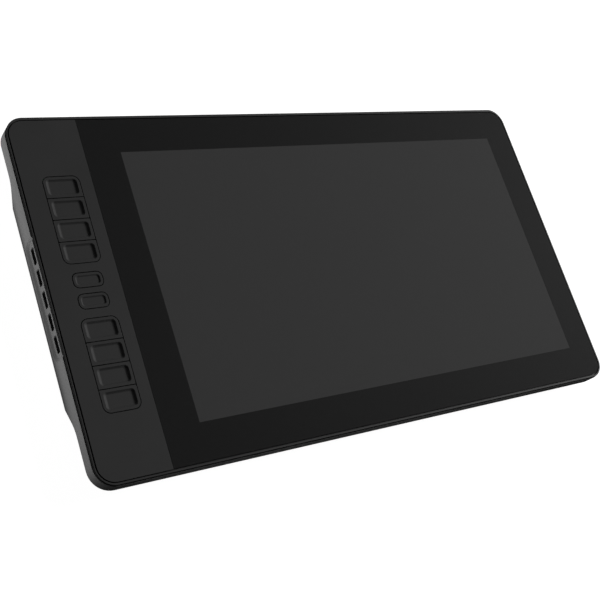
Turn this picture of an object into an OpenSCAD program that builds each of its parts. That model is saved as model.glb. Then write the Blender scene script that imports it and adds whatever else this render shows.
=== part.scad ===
// Pen display: a graphics tablet with a built-in screen, ten express keys and five side buttons.
// It lies on its feet with the screen up. Units are millimetres, +X right, +Y to the top edge, +Z up.
// The origin is on the desk, under the middle of the outline.

/* [Screen and front] */
// Width of the lit area of the screen
screen_w = 344.2; // [310:0.2:380]
// Height of the lit area of the screen
screen_h = 193.6; // [184:0.2:214]
// Dark border between the key panel and the lit area
bezel_left = 26.9; // [20:0.1:36]
// Dark border on the right of the lit area
bezel_right = 23.8; // [20:0.1:36]
// Dark border above the lit area
bezel_top = 24.8; // [20:0.1:36]
// Dark border below the lit area
bezel_bottom = 25.6; // [25:0.1:36]
// Width of the panel that carries the keys
key_panel_w = 47.6; // [45:0.1:56]
// Width of the raised rim round the front
rim_w = 1.3; // [1.2:0.05:2]
// Groove between the rim and the glass or key panel
groove_w = 0.7; // [0.5:0.05:1]
// Corner radius of the outline
corner_r = 13; // [9:0.5:20]

/* [Thickness] */
// Height of the feet under the case
foot_h = 1.5; // [1:0.1:3]
// How far the thick middle stands out behind the thin ends
hump_h = 7.4; // [7.2:0.1:10]
// Thickness of the thin ends, from the back to the glass
edge_t = 12; // [11.9:0.1:16]
// Length of the flat of the thick middle, across the tablet
hump_flat = 137.6; // [132:0.2:142]
// Slope of the ramps from the middle to the ends, in degrees
ramp_deg = 27; // [23:1:34]
// Radius where a ramp runs out into a thin end
ramp_r = 22; // [14:1:28]
// Wall of the rear cover
wall = 2; // [1.8:0.1:2.2]
// How far the rear cover stands out beyond the rim
wall_out = 0.6; // [0.5:0.05:0.8]

/* [Express keys] */
// Width of a wide key
key_w = 24.9; // [22:0.1:26]
// Distance from one wide key to the next
key_pitch = 15.45; // [14.5:0.05:16]
// Gap round a key
key_gap = 0.5; // [0.4:0.05:0.7]
// Middle of a bank of four wide keys, from the middle of the tablet
bank_y = 49.6; // [49.2:0.1:53]
// Corner radius of a bank of keys
bank_r = 4.6; // [3:0.1:6]
// Width of a small key
small_w = 19.9; // [17:0.1:21]
// Height of a small key
small_h = 9.75; // [9:0.05:10]
// Middle of a small key, from the middle of the tablet
small_y = 7.2; // [7:0.05:7.5]
// Depth of the dish in a key
dish_d = 1.1; // [0.6:0.05:1.2]
// How far an express key goes down
key_travel = 0.5; // [0.3:0.05:0.6]

/* [Side buttons] */
// Length of a side button
side_l = 10.9; // [9:0.1:12]
// Height of a side button
side_h = 2.9; // [2.4:0.1:3.4]
// Distance from one side button to the next
side_pitch = 14.95; // [14.6:0.05:16]
// Gap round a side button
side_gap = 0.25; // [0.2:0.01:0.35]
// Depth of the pocket that the side buttons sit in
pocket_d = 1; // [0.6:0.1:1.2]
// Middle of the side buttons, below the glass
side_drop = 7.8; // [7.6:0.1:8]
// How far a side button goes in
side_travel = 0.4; // [0.3:0.05:0.5]

/* [Mounting] */
// Distance between the threaded inserts in the back
mount_pitch = 75; // [70:1:80]
// Radius of the thread in an insert, taken at its full depth
insert_bore_r = 2; // [1.6:0.05:2.2]
// Radius of the screws that close the case
screw_r = 1.25; // [1:0.05:1.4]

/* [Hidden] */
$fn = 48;
eps = 0.01;
cut = 1;
fit = 0.2;
side_n = 5;
bank_n = 4;
key_n = 2 * bank_n + 2;

// The layers of the front, from the glass down.
glass_t = 1.1;
print_t = 0.1;
tape_t = 0.3;
cell_t = 1.3;
films_t = 0.6;
guide_t = 2;
reflector_t = 0.2;
sensor_t = 0.8;
shield_t = 0.3;
plate_t = 1;

// Heights.
ledge_z = foot_h + hump_h;
front_z = ledge_z + edge_t;
glass_z = front_z - glass_t;
print_z = glass_z - print_t;
seat_z = print_z - tape_t;
cell_z = seat_z - cell_t;
films_z = cell_z - films_t;
guide_z = films_z - guide_t;
reflector_z = guide_z - reflector_t;
sensor_z = reflector_z - sensor_t;
shield_z = sensor_z - shield_t;
plate_z = shield_z - plate_t;
frame_t = 1.6;
frame_z = seat_z - frame_t;
rim_drop = 0.25;
rim_z = front_z - rim_drop;
band_h = 1.5;
band_z = rim_z - band_h;
reveal_h = 0.2;
lip_z = band_z - reveal_h;

// The outline, and the front in it.
edge = rim_w + groove_w;
joint_gap = 0.1;
glass_w = bezel_left + screen_w + bezel_right;
body_w = 2 * edge + key_panel_w + joint_gap + glass_w;
body_h = 2 * edge + bezel_top + screen_h + bezel_bottom;
face_left = edge - body_w / 2;
face_top = body_h / 2 - edge;
panel_right = face_left + key_panel_w;
glass_left = panel_right + joint_gap;
screen_left = glass_left + bezel_left;
screen_right = screen_left + screen_w;
screen_bottom = bezel_bottom - face_top;
screen_top = screen_bottom + screen_h;
screen_y = (screen_bottom + screen_top) / 2;

// The rear cover's wall, with a lip outside the front frame and a step that the frame rests on.
wall_round = 0.9;
lip_inset = 0.8;
inner_inset = wall - wall_out;
frame_inset = lip_inset + fit;
wall_x = -body_w / 2 - wall_out;

// The ramp: its foot at the edge of the middle, and the fillet that runs it out.
ramp_y = hump_flat / 2;
ramp_foot_y = ramp_y + hump_h / tan(ramp_deg);
ramp_run = ramp_r * tan(ramp_deg / 2);
ramp_end_y = ramp_foot_y + ramp_run;
ramp_n = 12;

// The display, with its border and the frame that holds it.
cell_side = 3.3;
cell_top = 3.5;
cell_bottom = 14.7;
holder_t = 1.2;
holder_gap = 0.2;
cell_x0 = screen_left - cell_side;
cell_x1 = screen_right + cell_side;
cell_y0 = screen_bottom - cell_bottom;
cell_y1 = screen_top + cell_top;
hold_x0 = cell_x0 - holder_t;
hold_x1 = cell_x1 + holder_t;
hold_y0 = cell_y0 - holder_t;
hold_y1 = cell_y1 + holder_t;
hold_drop = 0.3;
light_side = 1.2;
bar_w = 1.7;
bar_t = 1.8;
driver_w = 220;
driver_y0 = cell_y0 + 0.9;
driver_y1 = screen_bottom - 4.4;
driver_t = 0.8;
sensor_side = 3;
window_gap = 0.4;

// Screws, bosses and posts.
head_r = screw_r + 1.05;
head_t = 1.6;
bore_r = screw_r + 0.05;
pass_r = screw_r + 0.2;
boss_r = 3.3;
post_r = 2.9;
case_inset = 6.3;
case_x = body_w / 2 - 18.3;
case_y = body_h / 2 - case_inset;
case_at = [for (x = [-1, -1 / 3, 1 / 3, 1], y = [-1, 1]) [x * case_x, y * case_y]];
sink_z = ledge_z + 3;
meet_z = ledge_z + 5.6;
plate_post_x = [hold_x0 - 5.7, hold_x1 + 6.2];
plate_post_y = [for (k = [-75, 0, 75]) screen_y + k];
plate_at = [for (x = plate_post_x, y = plate_post_y) [x, y]];
plate_edge = 5.4;

// The port bay in the back, and the main board in front of it.
bay_w = 64;
bay_y0 = ramp_y - 10.8;
bay_y1 = ramp_end_y + 7;
bay_z = plate_z - 3;
board_w = 120;
board_d = 60;
board_t = 1.6;
board_z = foot_h + 8.1;
board_y1 = bay_y0 - wall - 0.5;
board_y0 = board_y1 - board_d;
board_in = 5;
board_at = [for (x = [-1, 1], y = [board_y0 + board_in, board_y1 - board_in])
    [x * (board_w / 2 - board_in), y]];
socket_d = 12;
socket_y1 = bay_y0 - 0.5;
socket_y0 = socket_y1 - socket_d;
mouth_d = 9;
video_x = 18;
video_w = 15;
video_h = 5.6;
data_x = -3;
data_w = 9;
data_h = 3.2;
power_x = -21;
power_w = 9;
power_h = 6;
power_bore_r = 2;
power_pin_r = 0.65;
insert_l = 6.6;
insert_r = 3.45;
insert_seat_r = 3.5;
insert_boss_r = 5.4;
insert_in = 0.2;
insert_at = [for (x = [-1, 1], y = [-1, 1]) [x * mount_pitch / 2, y * mount_pitch / 2]];

// The feet.
foot_l = 50;
foot_w = 14;
foot_r = 5;
foot_sink = 0.8;
foot_gap = 0.05;
foot_in_x = 45;
foot_in_y = 16;
foot_at = [for (x = [-1, 1], y = [-1, 1]) [x * (body_w / 2 - foot_in_x), y * (ramp_y - foot_in_y)]];

// The express keys, numbered from the top edge down.
key_margin = 13.2;
key_x = face_left + key_margin + key_gap + key_w / 2;
key_cap_h = key_pitch - key_gap;
bank_h = bank_n * key_pitch - key_gap;
flange_gap = 0.1;
flange_t = 0.8;
flange_over = 1.2;
flange_z = seat_z - flange_gap - flange_t;
bay_key_x0 = face_left + 3.3;
bay_key_x1 = panel_right - 2.8;
bay_key_y = bank_y + bank_h / 2 + 15.7;
key_ys = concat(
    [for (k = [1.5, 0.5, -0.5, -1.5]) bank_y + k * key_pitch],
    [small_y, -small_y],
    [for (k = [1.5, 0.5, -0.5, -1.5]) -bank_y + k * key_pitch]);
dish_margin = 1.85;
dish_flank_x = 2.4;
dish_flank_y = 1.5;
small_flank = 1.3;
stem_r = 2;

// The key board: switches for the express keys on top, side-acting ones under its left edge.
side_z = front_z - side_drop;
side_ys = [for (k = [1 : side_n]) ((side_n + 1) / 2 - k) * side_pitch];
switch_w = 6;
switch_t = 1.4;
side_switch_h = 3.4;
side_switch_d = 3.5;
keyboard_t = 1;
keyboard_z = side_z + side_switch_h / 2;
switch_z = keyboard_z + keyboard_t;
switch_top = switch_z + switch_t;
plunger_r = 1.5;
plunger_gap = 0.25;
plunger_out = key_travel + 0.2;
plunger_in = 0.6;
plunger_top = switch_top + plunger_out;
key_post_y = bank_y + bank_h / 2 + 5.5;
gap_post_y = (small_y + small_h / 2 + bank_y - bank_h / 2) / 2;
key_post_r = 2.1;
key_post_at = [for (y = [key_post_y, gap_post_y, -gap_post_y, -key_post_y]) [key_x, y]];
key_post_top = 1;
key_screw_l = seat_z - key_post_top - keyboard_z - 0.2;
inner_screw_l = 4.4;

// The pocket in the left wall and the buttons in it.
pad_t = 1.6;
floor_x = wall_x + pocket_d;
pad_x = wall_x + wall + pad_t;
pocket_l = (side_n - 1) * side_pitch + side_l + 10.3;
pocket_low = side_z - 7.7;
pocket_flank = 3;
pocket_r = 6;
side_sink = 0.4;
side_flange_over = 0.7;
side_flange_t = 0.9;
side_flange_x = pad_x + flange_gap;
side_stem_r = 1.3;
side_stem_x = side_flange_x + side_flange_t;
side_plunger_x = side_stem_x + 1.5;
side_plunger_r = 0.9;
side_plunger_in = 0.8;
side_switch_x = side_plunger_x + side_travel + 0.2;
keyboard_x0 = side_switch_x;
keyboard_x1 = bay_key_x1 - 0.6;

// Ribbons and their connectors.
ribbon_t = 0.3;
ribbon_w = 12;
link_h = 1.2;
link_d = 4;
link_w = 14;
board_top = board_z + board_t;
ribbon_board_z = board_top + link_h + ribbon_t / 2;
ribbon_plate_z = plate_z - ribbon_t / 2;
link_x = 1 - board_w / 2;
ribbon_run = 10;
ribbon_on = 3;
display_x = 20;
sensor_cable_in = 18;
sensor_cable_y = board_y0 + sensor_cable_in;
key_cable_in = 34;
key_cable_y = board_y0 + key_cable_in;
plate_left = plate_post_x[0] - plate_edge;

// Rectangle with round corners, centred.
module rounded_rect(w, h, r) {
    square([w - 2 * r, h], center = true);
    square([w, h - 2 * r], center = true);
    for (x = [-1, 1], y = [-1, 1])
        translate([x * (w / 2 - r), y * (h / 2 - r)]) circle(r);
}

// Rectangle from one corner to the other.
module span(x0, y0, x1, y1) {
    translate([x0, y0]) square([x1 - x0, y1 - y0]);
}

// Flat layer with the outline of a 2-D shape.
module layer(z0, z1) {
    translate([0, 0, z0]) linear_extrude(height = z1 - z0) children();
}

// Outline of the rim, set in by a distance.
module outline(inset) {
    rounded_rect(body_w - 2 * inset, body_h - 2 * inset, corner_r - inset);
}

// Outline of the rear cover, which stands out beyond the rim and is rounder.
module cover_outline() {
    rounded_rect(body_w + 2 * wall_out, body_h + 2 * wall_out, corner_r + wall_out + wall_round);
}

// Upright cylinder between two heights.
module rod(at, r, z0, z1) {
    translate([at[0], at[1], z0]) cylinder(r = r, h = z1 - z0);
}

// 2-D shape in the Y-Z plane, drawn out along X.
module along_x(x0, x1) {
    translate([x0, 0, 0]) rotate([90, 0, 90]) linear_extrude(height = x1 - x0) children();
}

// 2-D shape in the X-Z plane, drawn out along Y.
module along_y(y0, y1) {
    translate([0, y1, 0]) rotate([90, 0, 0]) linear_extrude(height = y1 - y0) children();
}

// Slot with full round ends, centred.
module stadium(w, h) {
    square([w - h, h], center = true);
    for (side = [-1, 1]) translate([side * (w - h) / 2, 0]) circle(h / 2);
}

// Section of the case across the tablet: thin ends, ramps that run out in a curve, and a thick middle.
function ramp_points() = concat(
    [[ramp_y, foot_h]],
    [for (k = [0 : ramp_n])
        let (a = ramp_deg * (1 - k / ramp_n))
        [ramp_end_y - ramp_r * sin(a), ledge_z - ramp_r * (1 - cos(a))]],
    [[body_h / 2 + cut, ledge_z], [body_h / 2 + cut, front_z]]);
function flipped(p) = [for (k = [len(p) - 1 : -1 : 0]) [-p[k][0], p[k][1]]];
module case_section() {
    polygon(concat(flipped(ramp_points()), ramp_points()));
}

// Flat strip through points in a plane, of even thickness.
function unit(v) = v / norm(v);
function side_of(a, b) = unit([a[1] - b[1], b[0] - a[0]]);
function corner_of(p, i) =
    i == 0 ? side_of(p[0], p[1]) :
    i == len(p) - 1 ? side_of(p[i - 1], p[i]) :
    let (m = side_of(p[i - 1], p[i]), n = side_of(p[i], p[i + 1])) (m + n) / (1 + m * n);
module strip(p) {
    last = len(p) - 1;
    polygon(concat(
        [for (i = [0 : last]) p[i] + corner_of(p, i) * ribbon_t / 2],
        [for (i = [last : -1 : 0]) p[i] - corner_of(p, i) * ribbon_t / 2]));
}

// Pocket in the left wall: a sunk floor with sloping flanks, open to the parting line.
module pocket_face(x, grow) {
    high = lip_z + 2 * pocket_r;
    low = pocket_low - grow;
    along_x(x - eps, x)
        translate([0, (low + high) / 2])
        rounded_rect(pocket_l + 2 * grow, high - low, pocket_r + grow / 2, $fn = 32);
}
module pocket() {
    hull() {
        pocket_face(wall_x - cut, pocket_flank * cut / pocket_d);
        pocket_face(floor_x, -pocket_flank);
    }
}

// Outline of a side button, or of its slot or flange when grown.
module side_shape(grow) {
    rounded_rect(side_l + 2 * grow, side_h + 2 * grow, 1 + max(grow, 0) / 2);
}

// Outline of a foot.
module foot_shape(grow) {
    rounded_rect(foot_l + 2 * grow, foot_w + 2 * grow, foot_r + grow);
}

// What stands inside the rear cover: screw bosses, standoffs, insert bosses, button pad, port bay.
module cover_inside() {
    for (p = case_at) rod(p, boss_r, foot_h, meet_z);
    for (p = board_at) rod(p, post_r, foot_h, board_z);
    for (p = insert_at) rod(p, insert_boss_r, foot_h, foot_h + insert_in + insert_l + 0.6);
    along_x(wall_x, pad_x)
        span(-pocket_l / 2 - wall, pocket_low - wall, pocket_l / 2 + wall, frame_z - 0.6);
    layer(foot_h, bay_z + wall) span(-bay_w / 2 - wall, bay_y0 - wall, bay_w / 2 + wall, bay_y1 + wall);
}

module rear_cover() {
    color("#3a3b3d")
    difference() {
        intersection() {
            layer(foot_h, lip_z) cover_outline();
            along_x(-body_w / 2 - cut, body_w / 2 + cut) case_section();
        }
        layer(frame_z, lip_z + cut) outline(lip_inset);
        difference() {
            intersection() {
                layer(foot_h, frame_z + cut) outline(inner_inset);
                along_x(-body_w / 2, body_w / 2) translate([0, wall]) case_section();
            }
            cover_inside();
        }
        pocket();
        for (y = side_ys)
            along_x(wall_x - cut, pad_x + cut) translate([y, side_z]) side_shape(side_gap);
        layer(foot_h - cut, bay_z) span(-bay_w / 2, bay_y0, bay_w / 2, bay_y1);
        socket_windows();
        for (p = case_at) rod(p, head_r + 0.3, foot_h, sink_z);
        for (p = case_at) rod(p, pass_r, sink_z - cut, meet_z + cut);
        for (p = board_at) rod(p, bore_r, board_z - 6, board_z + cut);
        for (p = insert_at) rod(p, insert_seat_r, foot_h - cut, foot_h + insert_in + insert_l);
        for (p = foot_at) translate(p) layer(foot_h - cut, foot_h + foot_sink) foot_shape(foot_gap);
    }
}

// Windows in the back wall of the port bay, one for each socket.
module socket_windows() {
    y0 = bay_y0 - wall - cut;
    y1 = bay_y0 + cut;
    layer(board_z - video_h - fit, board_z + fit)
        span(video_x - video_w / 2 - fit, y0, video_x + video_w / 2 + fit, y1);
    layer(board_z - data_h - fit, board_z + fit)
        span(data_x - data_w / 2 - fit, y0, data_x + data_w / 2 + fit, y1);
    layer(board_z - power_h - fit, board_z + fit)
        span(power_x - power_w / 2 - fit, y0, power_x + power_w / 2 + fit, y1);
}

module front_frame() {
    color("#17181a")
    difference() {
        union() {
            layer(band_z, rim_z) outline(0);
            layer(frame_z, band_z + eps) outline(frame_inset);
            for (p = case_at) rod(p, post_r, meet_z, seat_z);
            for (p = plate_at) rod(p, post_r, plate_z + plate_t, seat_z);
        }
        layer(seat_z, rim_z + cut) outline(rim_w);
        layer(frame_z - cut, seat_z + cut) span(bay_key_x0, -bay_key_y, bay_key_x1, bay_key_y);
        layer(frame_z - cut, seat_z + cut)
            span(hold_x0 - window_gap, hold_y0 - window_gap, hold_x1 + window_gap, hold_y1 + window_gap);
        for (p = case_at) rod(p, bore_r, meet_z - cut, seat_z - 0.8);
        for (p = plate_at) rod(p, bore_r, plate_z, seat_z - 0.8);
    }
}

// Outline of the whole front inside the groove.
module face_outline(inset) {
    outline(edge + inset);
}

module key_openings() {
    for (side = [-1, 1])
        translate([key_x, side * bank_y])
        rounded_rect(key_w + 2 * key_gap, bank_h + 2 * key_gap, bank_r + key_gap);
    for (side = [-1, 1])
        translate([key_x, side * small_y])
        rounded_rect(small_w + 2 * key_gap, small_h + 2 * key_gap, 3.6 + key_gap);
}

module key_panel() {
    color("#2b2c2e")
    difference() {
        union() {
            layer(seat_z, front_z) difference() {
                intersection() {
                    face_outline(0);
                    span(-body_w, -body_h, panel_right, body_h);
                }
                key_openings();
            }
            for (p = key_post_at) rod(p, key_post_r, switch_z, seat_z + eps);
        }
        for (p = key_post_at) rod(p, bore_r, switch_z - cut, seat_z - key_post_top);
    }
}

module glass_outline(inset) {
    intersection() {
        face_outline(inset);
        span(glass_left + inset, -body_h, body_w, body_h);
    }
}

module cover_glass() {
    color("#202124", 0.5) layer(glass_z, front_z) glass_outline(0);
}

module mask_print() {
    color("#101012")
    layer(print_z, glass_z) difference() {
        glass_outline(0.3);
        span(screen_left, screen_bottom, screen_right, screen_top);
    }
}

module glass_tape() {
    grow = window_gap + 0.8;
    color("#303030")
    layer(seat_z, print_z) difference() {
        glass_outline(0.8);
        span(hold_x0 - grow, hold_y0 - grow, hold_x1 + grow, hold_y1 + grow);
    }
}

module display_cell() {
    color("#34353a") layer(cell_z, seat_z) span(cell_x0, cell_y0, cell_x1, cell_y1);
}

// Area of the lighting layers behind the display.
module light_area(y0) {
    span(screen_left - light_side, y0, screen_right + light_side, screen_top + light_side);
}

module optical_films() {
    color("#e8eaec") layer(films_z, cell_z) light_area(screen_bottom - 1);
}

module light_guide() {
    color("#dfe9ee") layer(guide_z, films_z) light_area(screen_bottom - 1);
}

module reflector_sheet() {
    color("#f4f4f4") layer(reflector_z, guide_z) light_area(screen_bottom - 2.9);
}

module light_bar() {
    y1 = screen_bottom - 1.1;
    color("#f0e6b0") layer(guide_z, guide_z + bar_t) span(screen_left + 2, y1 - bar_w, screen_right - 2, y1);
}

module panel_frame() {
    color("#e6e6e6")
    difference() {
        layer(reflector_z, seat_z - hold_drop) span(hold_x0, hold_y0, hold_x1, hold_y1);
        layer(cell_z, seat_z)
            span(cell_x0 - holder_gap, cell_y0 - holder_gap, cell_x1 + holder_gap, cell_y1 + holder_gap);
        layer(reflector_z - cut, seat_z)
            span(screen_left - light_side - 0.4, screen_bottom - 3, screen_right + light_side + 0.4,
                screen_top + light_side + 0.4);
        layer(reflector_z - cut, seat_z)
            span(display_x - driver_w / 2 - 1, driver_y0 - 0.4, display_x + driver_w / 2 + 1, driver_y1 + 0.4);
    }
}

module driver_board() {
    color("#1f5c3a")
    layer(cell_z - driver_t, cell_z)
        span(display_x - driver_w / 2, driver_y0, display_x + driver_w / 2, driver_y1);
}

// Area of the pen sensing layers.
module sensor_area(side) {
    span(screen_left - side, screen_bottom - side, screen_right + side, screen_top + side);
}

module digitizer_board() {
    color("#24503c") layer(sensor_z, reflector_z) sensor_area(sensor_side);
}

module digitizer_shield() {
    color("#8d9094") layer(shield_z, sensor_z) sensor_area(sensor_side - 0.5);
}

module back_plate() {
    color("#b4b8bc")
    difference() {
        layer(plate_z, shield_z)
            span(plate_left, screen_bottom - 2,
                plate_post_x[1] + plate_edge, screen_top + 6.5);
        for (p = plate_at) rod(p, pass_r, plate_z - cut, shield_z + cut);
    }
}

module main_board() {
    color("#1f5c3a")
    difference() {
        layer(board_z, board_top) span(-board_w / 2, board_y0, board_w / 2, board_y1);
        for (p = board_at) rod(p, pass_r, board_z - cut, board_top + cut);
    }
}

// Block standing on a board.
module chip(x, y, w, d, h, z) {
    translate([x - w / 2, y - d / 2, z]) cube([w, d, h]);
}

// Chips and coils on the main board, and the ribbon connectors on every board.
module board_components() {
    color("#1a1a1c") {
        chip(-8, board_y0 + 26, 14, 14, 1.3, board_top);
        chip(20, board_y0 + 24, 9, 9, 1, board_top);
        chip(38, board_y0 + 14, 8, 8, 1.5, board_top);
        chip(38, board_y0 + 26, 7, 7, 1.4, board_top);
        chip(-30, board_y0 + 40, 6, 5, 1, board_top);
        chip(4, board_y0 + 44, 5, 4, 1, board_top);
        chip(display_x, board_y0 + 3, link_w, link_d, link_h, board_top);
        chip(link_x + link_d / 2, sensor_cable_y, link_d, link_w, link_h, board_top);
        chip(link_x + link_d / 2, key_cable_y, link_d, link_w, link_h, board_top);
        chip(display_x, (driver_y0 + driver_y1) / 2, link_w, link_d, link_h, cell_z - driver_t - link_h);
        chip(keyboard_x1 - 3, key_cable_y, link_d, link_w, link_h, keyboard_z - link_h);
    }
}

// Metal shell with a mouth that faces the port bay and a contact tongue in it.
module video_socket() {
    mouth_w = video_w - 1;
    mouth_h = video_h - 1.1;
    mid_z = board_z - video_h / 2;
    color("#b8b8b4") {
        difference() {
            layer(board_z - video_h, board_z)
                span(video_x - video_w / 2, socket_y0, video_x + video_w / 2, socket_y1);
            translate([video_x, 0, mid_z]) along_y(socket_y1 - mouth_d, socket_y1 + cut)
                polygon([
                    [-mouth_w / 2, mouth_h / 2], [mouth_w / 2, mouth_h / 2], [mouth_w / 2, -0.4],
                    [mouth_w / 2 - 1.6, -mouth_h / 2], [1.6 - mouth_w / 2, -mouth_h / 2], [-mouth_w / 2, -0.4]]);
        }
        translate([video_x, 0, mid_z]) along_y(socket_y1 - mouth_d - 0.5, socket_y1 - 1.5)
            translate([0, 0.5]) square([mouth_w - 3, 1.1], center = true);
    }
}

module data_socket() {
    mid_z = board_z - data_h / 2;
    color("#b8b8b4")
    translate([data_x, 0, mid_z]) {
        difference() {
            along_y(socket_y0, socket_y1) stadium(data_w, data_h);
            along_y(socket_y1 - mouth_d, socket_y1 + cut) stadium(data_w - 0.7, data_h - 0.7);
        }
        along_y(socket_y1 - mouth_d - 0.5, socket_y1 - 1) square([data_w - 2.6, 0.7], center = true);
    }
}

module power_jack() {
    mid_z = board_z - power_h / 2;
    color("#202022") {
        difference() {
            layer(board_z - power_h, board_z)
                span(power_x - power_w / 2, socket_y0, power_x + power_w / 2, socket_y1);
            translate([power_x, 0, mid_z]) along_y(socket_y1 - mouth_d, socket_y1 + cut) circle(power_bore_r);
        }
        translate([power_x, 0, mid_z]) along_y(socket_y1 - mouth_d - 0.5, socket_y1 - 1) circle(power_pin_r);
    }
}

module key_board() {
    color("#1f5c3a")
    difference() {
        layer(keyboard_z, switch_z) span(keyboard_x0, -key_post_y - 4, keyboard_x1, key_post_y + 4);
        for (p = key_post_at) rod(p, pass_r, keyboard_z - cut, switch_z + cut);
    }
}

module tact_switches() {
    color("#2a2a2a") {
        for (y = key_ys) difference() {
            chip(key_x, y, switch_w, switch_w, switch_t, switch_z);
            rod([key_x, y], plunger_r + plunger_gap, switch_top - plunger_in - key_travel - 0.1, switch_top + cut);
        }
        for (y = side_ys) difference() {
            chip(side_switch_x + side_switch_d / 2, y, side_switch_d, switch_w, side_switch_h,
                keyboard_z - side_switch_h);
            translate([side_switch_x - cut, y, side_z]) rotate([0, 90, 0])
                cylinder(r = side_plunger_r + plunger_gap, h = cut + side_plunger_in + side_travel + 0.1);
        }
    }
}

module display_ribbon() {
    z_link = cell_z - driver_t - link_h - ribbon_t / 2;
    y_link = (driver_y0 + driver_y1) / 2;
    y_turn = screen_bottom - 4;
    color("#c9a35a")
    along_x(display_x - ribbon_w / 2, display_x + ribbon_w / 2)
        strip([
            [y_link - 1.5, z_link], [y_turn - 2.8, z_link], [y_turn, ribbon_plate_z],
            [board_y0 - ribbon_run, ribbon_plate_z], [board_y0 - 2, ribbon_board_z],
            [board_y0 + ribbon_on, ribbon_board_z]]);
}

module digitizer_ribbon() {
    z_edge = sensor_z + sensor_t / 2;
    x_turn = plate_left - 1.5;
    color("#c9a35a")
    along_y(sensor_cable_y - ribbon_w / 2, sensor_cable_y + ribbon_w / 2)
        strip([
            [screen_left - sensor_side, z_edge], [x_turn, z_edge], [x_turn, ribbon_plate_z],
            [link_x - ribbon_run, ribbon_plate_z], [link_x - 2, ribbon_board_z],
            [link_x + ribbon_on, ribbon_board_z]]);
}

module key_ribbon() {
    z_link = keyboard_z - link_h - ribbon_t / 2;
    color("#c9a35a")
    along_y(key_cable_y - ribbon_w / 2, key_cable_y + ribbon_w / 2)
        strip([
            [keyboard_x1 - 4.5, z_link], [keyboard_x1 + 1, z_link], [plate_left - 3, ribbon_plate_z],
            [link_x - ribbon_run, ribbon_plate_z], [link_x - 2, ribbon_board_z],
            [link_x + ribbon_on, ribbon_board_z]]);
}

module rubber_feet() {
    color("#141414")
    for (p = foot_at) translate(p) layer(0, foot_h + foot_sink) foot_shape(0);
}

module mount_inserts() {
    color("#b5904a")
    for (p = insert_at) difference() {
        rod(p, insert_r, foot_h + insert_in, foot_h + insert_in + insert_l);
        rod(p, insert_bore_r, foot_h, foot_h + insert_in + insert_l + cut);
    }
}

// Pan-head screw pointing up, its head just under a height.
module screw_up(at, z, length) {
    rod(at, head_r, z - head_t, z);
    rod(at, screw_r, z - eps, z + length);
}

// The same screw pointing down.
module screw_down(at, z, length) {
    rod(at, head_r, z, z + head_t);
    rod(at, screw_r, z - length, z + eps);
}

module case_screws() {
    color("#55565a")
    for (p = case_at) screw_up(p, sink_z, meet_z - sink_z + 4);
}

module inner_screws() {
    color("#8f9296") {
        for (p = plate_at) screw_up(p, plate_z, inner_screw_l);
        for (p = key_post_at) screw_up(p, keyboard_z, key_screw_l);
        for (p = board_at) screw_down(p, board_top, inner_screw_l);
    }
}

// Outline of one key's cap. The end keys of a bank share its round corners.
module cap_outline(k) {
    y = key_ys[k - 1];
    small = k == bank_n + 1 || k == bank_n + 2;
    if (small) {
        translate([key_x, y]) rounded_rect(small_w, small_h, 3.6);
    } else {
        intersection() {
            translate([key_x, sign(y) * bank_y]) rounded_rect(key_w, bank_h, bank_r);
            translate([key_x, y]) square([key_w + 1, key_cap_h], center = true);
        }
    }
}

// Dish in the top of a key, with sloping flanks.
module dish(x, y, w, h, flank_x, flank_y, r) {
    translate([x, y]) hull() {
        layer(front_z, front_z + cut) rounded_rect(w, h, r, $fn = 32);
        layer(front_z - dish_d, front_z) rounded_rect(w - 2 * flank_x, h - 2 * flank_y, r - 0.9, $fn = 32);
    }
}

module express_key(k) {
    y = key_ys[k - 1];
    small = k == bank_n + 1 || k == bank_n + 2;
    w = small ? small_w : key_w;
    h = small ? small_h : key_cap_h;
    wing = w / 2 + key_gap + flange_over;
    color("#2d2e30")
    difference() {
        union() {
            layer(flange_z, front_z) cap_outline(k);
            layer(flange_z, flange_z + flange_t) span(key_x - wing, y - h / 2 + 3.6, key_x + wing, y + h / 2 - 3.6);
            rod([key_x, y], stem_r, plunger_top, flange_z + eps);
        }
        if (small) {
            dish(key_x, y, w - 2.5, h - 3.5, small_flank, small_flank, 2.1);
        } else {
            dish(key_x, y, w - 2 * dish_margin, h - 4.65, dish_flank_x, dish_flank_y, 2.6);
        }
    }
}

module key_plunger(k) {
    color("#c8c8c4") rod([key_x, key_ys[k - 1]], plunger_r, switch_top - plunger_in, plunger_top);
}

module side_button(k) {
    color("#0c0c0d")
    translate([0, side_ys[k - 1], side_z]) {
        along_x(floor_x + side_sink, side_flange_x + eps) side_shape(0);
        along_x(side_flange_x, side_stem_x) side_shape(side_flange_over);
        translate([side_stem_x - eps, 0, 0]) rotate([0, 90, 0])
            cylinder(r = side_stem_r, h = side_plunger_x - side_stem_x + eps);
    }
}

module side_plunger(k) {
    color("#c8c8c4")
    translate([side_plunger_x, side_ys[k - 1], side_z]) rotate([0, 90, 0])
        cylinder(r = side_plunger_r, h = side_switch_x + side_plunger_in - side_plunger_x);
}

rear_cover();
front_frame();
key_panel();
cover_glass();
mask_print();
glass_tape();
display_cell();
optical_films();
light_guide();
reflector_sheet();
light_bar();
panel_frame();
driver_board();
digitizer_board();
digitizer_shield();
back_plate();
main_board();
board_components();
video_socket();
data_socket();
power_jack();
key_board();
tact_switches();
display_ribbon();
digitizer_ribbon();
key_ribbon();
rubber_feet();
mount_inserts();
case_screws();
inner_screws();
for (k = [1 : key_n]) express_key(k);
for (k = [1 : key_n]) key_plunger(k);
for (k = [1 : side_n]) side_button(k);
for (k = [1 : side_n]) side_plunger(k);
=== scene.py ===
"""Dresses the solids of a pen display with soft edges, keys, screws and finishes, on a stage."""

import math

import bmesh
import bpy
from mathutils import Matrix, Vector


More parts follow.
